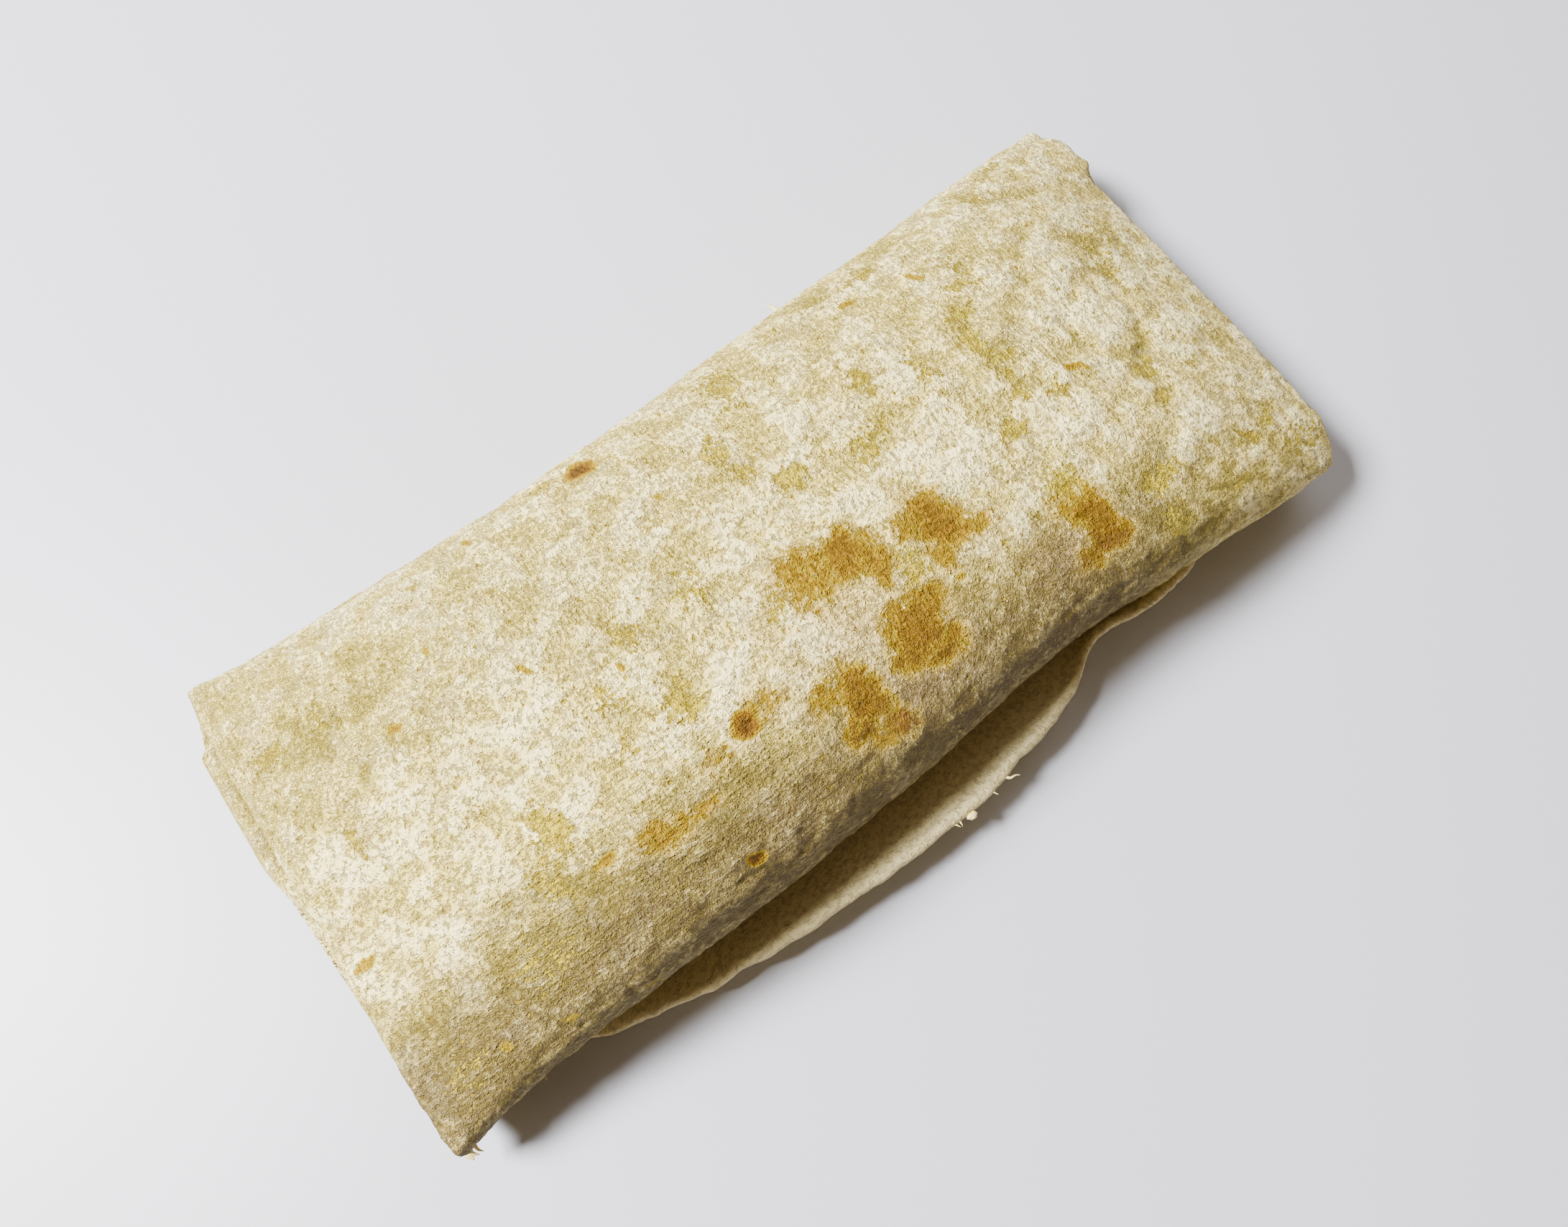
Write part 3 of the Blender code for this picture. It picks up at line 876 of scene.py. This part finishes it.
def toasted_tortilla(finish):
    """Floury crust over yellow, translucent skin, with dark flecks, oil stains and toasted spots; painted shade
    on the front, in the low streaks and in the left hem's groove, and painted highlight on the raised streaks.
    """
    r = Recipe("toasted_tortilla")
    grit = r.noise(0.24, 0.24, 2.0, 0.6)
    grains = r.noise(0.62, 0.62, 2.0, 0.55, 0.5)
    crumbs = r.noise(1.7, 1.7, 4.0, 0.62, 0.3)
    clouds = r.noise(6.5, 6.5, 3.0, 0.55)
    tone = r.noise(15.0, 15.0, 2.0)
    streak_along = r.noise(2.6, 0.66, 3.0, 0.6)
    streak_around = r.noise(0.62, 1.1, 3.0, 0.6)
    streak = r.total(streak_around, (r.math("SUBTRACT", streak_along, streak_around), r.field("grain")))
    ragged = r.total(-0.5, (grains, 0.40), (grit, 0.16), (streak, 0.44))

    # How thick the flour lies, from bare skin at 0 to a pale cake of it at 1
    uneven = r.total(0.0, (ragged, 0.60), (r.total(-0.5, (crumbs, 1.0)), 0.32))
    flour = r.total(r.field("flour"), (uneven, r.total(1.0, (r.field("calm"), -0.75))))
    thin = r.step(flour, 0.80, 0.40, 0.25, 1.0)
    crust = r.ramp(
        flour,
        (0.15, rgba(finish.thin_flour)),
        (0.44, rgba(finish.warm_flour)),
        (0.68, rgba(finish.pale_flour)),
        (0.95, rgba(finish.white_flour)),
    )
    grey = r.math("MULTIPLY", r.step(clouds, 0.48, 0.68), r.step(tone, 0.35, 0.6, 0.15, 0.5))
    crust = r.blend(grey, crust, rgba(finish.grey_flour))
    pink = r.math("MULTIPLY", r.field("pink"), r.step(crumbs, 0.62, 0.34, 0.65, 1.0))
    crust = r.blend(pink, crust, rgba(finish.pink_flour))
    # Painted shade on the front, partly damp flour: a darker colour where that field is high
    damp_and_painted_shade = r.math("MULTIPLY", r.field("damp_and_painted_shade"), r.step(crumbs, 0.62, 0.34, 0.65, 1.0))
    crust = r.blend(damp_and_painted_shade, crust, rgba(finish.damp_flour_and_painted_shade))
    soaked = r.step(r.total(r.field("oil"), (r.total(-0.5, (crumbs, 1.0)), -0.5)), 0.02, 0.26, 0.0, 0.9)
    crust = r.blend(soaked, crust, rgba(finish.soaked_flour))

    bare = r.total(r.field("bare"), (ragged, -1.3), (r.total(-0.5, (crumbs, 1.0)), -0.9))
    oil = r.total(r.field("oil"), (ragged, -1.1), (r.total(-0.5, (crumbs, 1.0)), -1.2))
    skin = r.ramp(
        oil,
        (0.16, rgba(finish.skin)),
        (0.40, rgba(finish.yellow_skin)),
        (0.64, rgba(finish.amber_oil)),
        (0.92, rgba(finish.dark_oil)),
    )
    red = r.math("MULTIPLY", r.field("red"), r.step(ragged, -0.10, 0.08))
    skin = r.blend(red, skin, rgba(finish.red_oil))
    bareness = r.math("MAXIMUM", r.step(bare, 0.20, 0.30), r.step(oil, 0.30, 0.46))
    colour = r.blend(bareness, crust, skin)
    colour = r.blend(r.step(r.field("inner"), 0.0, 1.0, 0.0, 0.85), colour, rgba(finish.inside))

    # Short dark dashes, most where the fleck field is high, and a darker colour in the low streaks where the
    # flour is thin: partly skin showing through, partly painted shade
    line = r.math("ABSOLUTE", r.total(-0.5, (r.noise(0.80, 0.62, 1.0, 0.5, 1.2), 1.0)))
    spread = r.total(r.noise(1.15, 1.15, 3.0, 0.6), (r.field("fleck"), 0.20), (thin, 0.10))
    dashes = r.math("MULTIPLY", r.step(line, 0.12, 0.04), r.step(spread, 0.60, 0.68))
    flecks_and_low_shade = r.math("MULTIPLY", r.step(streak, 0.40, 0.24, 0.0, 0.8), thin)
    flecks_and_low_shade = r.math("MAXIMUM", dashes, flecks_and_low_shade)
    flecks_and_low_shade = r.math("MULTIPLY", flecks_and_low_shade, r.step(r.math("MAXIMUM", oil, r.field("inner")), 0.25, 0.55, 0.65, 0.2))
    colour = r.blend(flecks_and_low_shade, colour, rgba(finish.fleck_and_shade))
    # Painted highlight along the raised streaks, partly the whiter, thicker flour on them
    crest_flour_and_highlight = r.math("MULTIPLY", r.step(streak, 0.56, 0.74), r.step(flour, 0.1, 0.5))
    crest_flour_and_highlight = r.math("MULTIPLY", crest_flour_and_highlight, r.step(thin, 0.3, 0.9, 0.0, 0.5))
    crest_flour_and_highlight = r.math("MULTIPLY", crest_flour_and_highlight, r.step(bareness, 0.0, 0.7, 1.0, 0.0))
    colour = r.blend(crest_flour_and_highlight, colour, rgba(finish.white_flour))

    # Painted shadow in the groove of the left hem
    colour = r.blend(r.math("MULTIPLY", r.field("seam"), 0.8), colour, rgba(finish.fleck_and_shade))

    toast = r.total(r.field("toast"), (ragged, 0.40))
    scorched = r.ramp(
        toast,
        (0.30, rgba(finish.light_toast)),
        (0.66, rgba(finish.toast)),
        (1.0, rgba(finish.dark_toast)),
    )
    colour = r.blend(r.step(toast, 0.16, 0.34), colour, scorched)

    gloss = r.step(bareness, 0.0, 1.0, finish.flour_roughness, finish.skin_roughness)
    gloss = r.total(gloss, (r.field("wet"), -0.38))
    height = r.total(
        0.0, (flour, 0.45), (bareness, -0.35), (grains, 0.7), (grit, 0.25), (streak, 0.7), (dashes, -0.6)
    )
    height = r.math("MULTIPLY", height, r.step(r.field("inner"), 0.0, 1.0, 1.0, 0.35))
    bump = r.add("ShaderNodeBump", {"Height": height, "Strength": 1.0, "Distance": finish.grain_depth})
    r.feed(
        r.shader,
        {
            "Base Color": colour,
            "Roughness": gloss,
            "Normal": bump.outputs[0],
            "Specular IOR Level": r.total(finish.sheen, (r.field("wet"), 0.5)),
        },
    )
    return r.material


def plain_crumb(finish):
    """Torn tortilla, pale with a warm tint in its hollows."""
    r = Recipe("torn_tortilla")
    place = r.add("ShaderNodeTexCoord", {}).outputs["Object"]
    speckle = r.add("ShaderNodeTexNoise", {"Vector": place, "Scale": 2600.0, "Detail": 3.0}).outputs[0]
    colour = r.blend(r.step(speckle, 0.35, 0.65), rgba(finish.pale_flour), rgba(finish.white_flour))
    bump = r.add("ShaderNodeBump", {"Height": speckle, "Strength": 1.0, "Distance": 0.00012})
    r.feed(r.shader, {"Base Color": colour, "Roughness": 0.6, "Normal": bump.outputs[0]})
    return r.material


def pale_floor(stage):
    r = Recipe("pale_floor")
    r.feed(r.shader, {"Base Color": rgba(stage.floor_colour), "Roughness": 0.45})
    return r.material


# Loose bits ----------------------------------------------------------------------------------------------

# A tapering strand: its points from the root outwards, its width and its thickness there
EDGE_BARBS = (
    (((6.6, 0.6, 0.1), (7.2, -0.5, 0.4), (8.2, -0.9, 0.5), (9.0, -1.6, 0.2)), 0.55, 0.22),
    (((3.4, 0.5, 0.0), (3.6, -0.3, 0.2), (3.9, -0.9, 0.1)), 0.40, 0.20),
    (((-4.2, 0.5, 0.0), (-4.3, -0.4, 0.2), (-4.4, -0.9, 0.1)), 0.45, 0.20),
    (((-5.3, 0.5, 0.0), (-5.0, -0.3, 0.2), (-4.7, -0.8, 0.1)), 0.40, 0.20),
)


def strand(path, width, thickness, sides=7):
    """Rings of points of a flat strand that narrows to its tip."""
    path = np.array(path, float)
    steps = np.linalg.norm(np.diff(path, axis=0), axis=1)
    run = np.concatenate([[0.0], np.cumsum(steps)]) / steps.sum()
    shares = np.linspace(0.0, 1.0, 4 * len(path))
    line = np.stack([np.interp(shares, run, path[:, k]) for k in range(3)], 1)
    for _ in range(3):
        line[1:-1] = (line[:-2] + line[1:-1] * 2 + line[2:]) / 4
    ahead = np.gradient(line, axis=0)
    ahead /= np.linalg.norm(ahead, axis=1)[:, None]
    side = np.cross(ahead, (0.0, 0.0, 1.0))
    side /= np.maximum(np.linalg.norm(side, axis=1), 1e-9)[:, None]
    up = np.cross(side, ahead)
    size = (1.0 - shares**1.6 * 0.9)[:, None, None]
    turns = np.linspace(0, math.tau, sides, endpoint=False)
    ring = side[:, None] * np.cos(turns)[None, :, None] * width / 2
    ring = ring + up[:, None] * np.sin(turns)[None, :, None] * thickness / 2
    return line[:, None] + ring * size


def join_meshes(name, parts):
    """One mesh of several closed grids."""
    corners, faces, start = [], [], 0
    for part in parts:
        mesh = grid_mesh("part", part)
        corners += [tuple(v.co) for v in mesh.vertices]
        faces += [[start + i for i in face.vertices] for face in mesh.polygons]
        start += len(mesh.vertices)
        bpy.data.meshes.remove(mesh)
    joined = bpy.data.meshes.new(name)
    joined.from_pydata(corners, [], faces)
    joined.shade_smooth()
    return joined


def lump(centre, size, seed, rings=15, sides=20):
    """Rings of points of a crumb: a bumpy, flattened ball."""
    polar = np.linspace(0.04, math.pi - 0.04, rings)[:, None]
    turn = np.linspace(0, math.tau, sides, endpoint=False)[None, :]
    ball = np.stack(
        [np.cos(polar) + 0 * turn, np.sin(polar) * np.cos(turn), np.sin(polar) * np.sin(turn)], -1
    )
    bumps = layers(ball[:, :, 0] * 1.7 + ball[:, :, 2], ball[:, :, 1] * 1.7 - ball[:, :, 2], 3, seed)
    return np.array(centre) + ball * (1.0 + 0.22 * bumps)[:, :, None] * np.array(size) / 2


# Torn strands on the hems: root in mm, way to the tip in mm, width, thickness
SHREDS = (
    ((-97.6, -41.6, 5.0), (-0.4, -2.4, -1.4), 2.4, 0.35),
    ((-96.4, -42.6, 5.0), (0.9, -1.9, -0.9), 1.3, 0.30),
    ((-94.3, -43.0, 5.4), (0.6, -1.7, -0.6), 0.8, 0.30),
    ((-80.4, -41.6, 5.2), (-0.7, -1.7, 0.3), 0.35, 0.20),
)
FLAKE = ((27.2, 39.4, 20.0), (-1.3, 2.8, 0.7), 1.3, 0.16)
EDGE_CRUMB = ((-2.0, -0.55, 0.0), (1.9, 1.3, 1.0))


class Surface:
    """The finished tortilla's points, to set loose bits on."""

    def __init__(self):
        mesh = bpy.data.objects["tortilla"].data
        self.points = np.empty(len(mesh.vertices) * 3, np.float32)
        mesh.vertices.foreach_get("co", self.points)
        self.points = self.points.reshape(-1, 3).astype(float)

    def nearest(self, place):
        return self.points[np.argmin(np.linalg.norm(self.points - place, axis=1))]

    def free_edge(self, x):
        """The outermost point of the loose lip at x."""
        near = self.points[np.abs(self.points[:, 0] - x) < 0.0006]
        return near[np.argmin(near[:, 1])]

    def off_edge(self, place):
        """A place given in mm as x, y from the free edge and height from it."""
        x, y, z = np.array(place) * MM
        edge = self.free_edge(x)
        return np.array((x, edge[1] + y, edge[2] + z))


def torn_strip(surface, root, way, width, thickness):
    """A strand that starts inside the tortilla and bends a little on its way out."""
    way = np.array(way) * MM
    start = surface.nearest(np.array(root) * MM)
    bend = np.cross(way, (0.0, 0.0, 1.0)) * 0.16
    path = [start - way * 0.25, start, start + way * 0.55 + bend, start + way]
    made = strand(path, width * MM, thickness * MM)
    return made


# Sizes and colours that can be changed -------------------------------------------------------------------


def colour(name, description, *values):
    return FloatVectorProperty(
        name=name, description=description, subtype="COLOR", size=3, min=0.0, max=1.0, default=srgb(*values)
    )


class BurritoFinish(PropertyGroup):
    """Colours and gloss of the tortilla."""

    white_flour: colour("White flour", "The thickest flour", 252, 236, 166)
    pale_flour: colour("Pale flour", "Thick flour", 232, 210, 122)
    warm_flour: colour("Warm flour", "Flour of middling thickness", 214, 192, 98)
    thin_flour: colour("Thin flour", "Flour that lets the skin show through", 160, 143, 54)
    grey_flour: colour("Grey flour", "Duller patches of flour", 222, 205, 146)
    # Partly damp flour, partly painted shade on the front
    damp_flour_and_painted_shade: colour("Damp flour and painted shade", "Flour low on the front, damp from the filling and darkened as painted shade", 98, 80, 54)
    pink_flour: colour("Pink flour", "Flour next to the oil stains", 196, 164, 118)
    soaked_flour: colour("Soaked flour", "Flour with oil in it", 190, 160, 76)
    skin: colour("Skin", "Bare tortilla without flour", 180, 158, 44)
    yellow_skin: colour("Yellow skin", "Bare tortilla with a little oil", 164, 136, 6)
    amber_oil: colour("Amber oil", "Oil soaked through the tortilla", 136, 104, 2)
    dark_oil: colour("Dark oil", "The thickest oil", 112, 79, 0)
    red_oil: colour("Red oil", "Oil tinted by the filling", 100, 58, 22)
    inside: colour("Inside", "The smoother inner side, seen on the loose lip", 206, 190, 142)
    light_toast: colour("Light toast", "Rim of a toasted spot", 168, 140, 8)
    toast: colour("Toast", "Toasted spots", 124, 86, 2)
    dark_toast: colour("Dark toast", "Middle of a toasted spot", 86, 56, 4)
    # Dark flecks, and the colour of the painted shade in the low streaks and in the left hem's groove
    fleck_and_shade: colour("Hollows", "Small dark hollows between the grains of flour", 104, 88, 18)
    flour_roughness: FloatProperty(
        name="Flour roughness", description="Of the crust", default=0.72, min=0.0, max=1.0, subtype="FACTOR"
    )
    skin_roughness: FloatProperty(
        name="Skin roughness", description="Of the skin", default=0.50, min=0.0, max=1.0, subtype="FACTOR"
    )
    sheen: FloatProperty(
        name="Sheen", description="Strength of the reflections", default=0.18, min=0.0, max=1.0, subtype="FACTOR"
    )
    grain_depth: FloatProperty(
        name="Grain depth", description="Of the finest bumps", default=0.00064, min=0.0, unit="LENGTH"
    )


class BurritoStage(PropertyGroup):
    """The floor, the lights and the camera."""

    floor_colour: colour("Floor", "The pale floor", 180, 181, 188)
    key_power: FloatProperty(name="Key light", description="Its power", default=60.0, min=0.0, unit="POWER")
    key_size: FloatProperty(
        name="Key size", description="Side of the soft key light", default=0.28, min=0.01, unit="LENGTH"
    )
    fill_power: FloatProperty(name="Fill light", description="Its power", default=14.0, min=0.0, unit="POWER")
    fill_size: FloatProperty(
        name="Fill size", description="Side of the broad second light", default=1.5, min=0.01, unit="LENGTH"
    )
    sky_strength: FloatProperty(name="Sky", description="Strength of the soft light all round", default=0.26)
    lens: FloatProperty(name="Lens", description="Focal length in mm", default=26.4, min=1.0)


# Operators -----------------------------------------------------------------------------------------------


class BURRITO_OT_tortilla(Operator):
    """Make the rolled tortilla"""

    bl_idname = "burrito.tortilla"
    bl_label = "Tortilla"

    def execute(self, context):
        mesh, _ = make_roll()
        piece = add_piece("tortilla", mesh, toasted_tortilla(context.scene.burrito_finish))
        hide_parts("tortilla_roll")
        return {"FINISHED"}


class BURRITO_OT_edge_crumbs(Operator):
    """Make the crumb and the barbs on the loose lip"""

    bl_idname = "burrito.edge_crumbs"
    bl_label = "Edge crumbs"

    def execute(self, context):
        surface = Surface()
        finish = plain_crumb(context.scene.burrito_finish)
        centre, size = EDGE_CRUMB
        crumb = lump(surface.off_edge(centre), np.array(size) * MM, 81)
        add_piece("edge_crumb", join_meshes("edge_crumb", [crumb]), finish)
        barbs = [
            strand([surface.off_edge(p) for p in path], width * MM, thickness * MM)
            for path, width, thickness in EDGE_BARBS
        ]
        add_piece("edge_barbs", join_meshes("edge_barbs", barbs), finish)
        return {"FINISHED"}


class BURRITO_OT_shreds(Operator):
    """Make the torn strands on the hems and the flake at the back"""

    bl_idname = "burrito.shreds"
    bl_label = "Shreds and flake"

    def execute(self, context):
        surface = Surface()
        finish = plain_crumb(context.scene.burrito_finish)
        strips = [torn_strip(surface, *shred) for shred in SHREDS]
        add_piece("hem_shreds", join_meshes("hem_shreds", strips), finish)
        add_piece("back_flake", join_meshes("back_flake", [torn_strip(surface, *FLAKE)]), finish)
        return {"FINISHED"}


CAMERA_PLACE = Vector((-0.0466, -0.0518, 0.2016))
CAMERA_AIM = Vector((-0.00345, 0.00056, 0.0))
CAMERA_UP = Vector((0.5769, 0.7520, 0.3188))
KEY_DIRECTION = Vector((-0.548, 0.384, 0.743))
KEY_DISTANCE = 1.0
FILL_PLACE = Vector((0.75, 0.85, 1.0))
FLOOR_SIDE = 3.0


def looking(place, aim, up):
    """The matrix of a camera or light at a place, looking at the aim."""
    back = (place - aim).normalized()
    right = up.cross(back).normalized()
    axes = Matrix((right, back.cross(right), back)).transposed()
    return Matrix.Translation(place) @ axes.to_4x4()


def add_light(name, place, power, size):
    """A square light that shines at the burrito."""
    light = bpy.data.lights.new(name, "AREA")
    light.energy = power
    light.size = size
    light.color = (0.985, 0.985, 1.0)
    lamp = bpy.data.objects.new(name, light)
    bpy.context.scene.collection.objects.link(lamp)
    lamp.matrix_world = looking(place, Vector(), Vector((0, 0, 1)))


class BURRITO_OT_stage(Operator):
    """Make the pale floor, the soft light and the camera"""

    bl_idname = "burrito.stage"
    bl_label = "Stage"

    def execute(self, context):
        scene = context.scene
        stage = scene.burrito_stage
        half = FLOOR_SIDE / 2
        corners = [(-half, -half, 0.0), (half, -half, 0.0), (half, half, 0.0), (-half, half, 0.0)]
        mesh = bpy.data.meshes.new("floor")
        mesh.from_pydata(corners, [], [(0, 1, 2, 3)])
        mesh.materials.append(pale_floor(stage))
        floor = bpy.data.objects.new("floor", mesh)
        scene.collection.objects.link(floor)

        add_light("key", KEY_DIRECTION * KEY_DISTANCE, stage.key_power, stage.key_size)
        add_light("fill", FILL_PLACE, stage.fill_power, stage.fill_size)

        world = bpy.data.worlds.new("soft_sky")
        world.use_nodes = True
        sky = world.node_tree.nodes["Background"]
        sky.inputs["Color"].default_value = (1.0, 0.74, 0.46, 1.0)
        sky.inputs["Strength"].default_value = stage.sky_strength
        scene.world = world

        camera_data = bpy.data.cameras.new("camera")
        camera_data.lens = stage.lens
        camera_data.sensor_width = 36.0
        camera_data.clip_start = 0.005
        camera = bpy.data.objects.new("camera", camera_data)
        scene.collection.objects.link(camera)
        camera.matrix_world = looking(CAMERA_PLACE, CAMERA_AIM, CAMERA_UP)
        scene.camera = camera
        return {"FINISHED"}


class BURRITO_PT_panel(Panel):
    """The burrito's pieces, sizes and colours"""

    bl_idname = "BURRITO_PT_panel"
    bl_label = "Burrito"
    bl_space_type = "VIEW_3D"
    bl_region_type = "UI"
    bl_category = "Burrito"

    def draw(self, context):
        layout = self.layout
        for maker in MAKERS:
            layout.operator(maker.bl_idname)
        for group in (context.scene.burrito_finish, context.scene.burrito_stage):
            box = layout.box()
            for name in group.bl_rna.properties.keys():
                if name not in ("rna_type", "name"):
                    box.prop(group, name)


MAKERS = (BURRITO_OT_tortilla, BURRITO_OT_edge_crumbs, BURRITO_OT_shreds, BURRITO_OT_stage)
CLASSES = (BurritoFinish, BurritoStage, *MAKERS, BURRITO_PT_panel)


def register():
    for made in CLASSES:
        bpy.utils.register_class(made)
    bpy.types.Scene.burrito_finish = PointerProperty(type=BurritoFinish)
    bpy.types.Scene.burrito_stage = PointerProperty(type=BurritoStage)


def unregister():
    del bpy.types.Scene.burrito_stage
    del bpy.types.Scene.burrito_finish
    for made in reversed(CLASSES):
        bpy.utils.unregister_class(made)


def main():
    register()
    bpy.ops.burrito.tortilla()
    bpy.ops.burrito.edge_crumbs()
    bpy.ops.burrito.shreds()
    bpy.ops.burrito.stage()


if __name__ == "__main__":
    main()
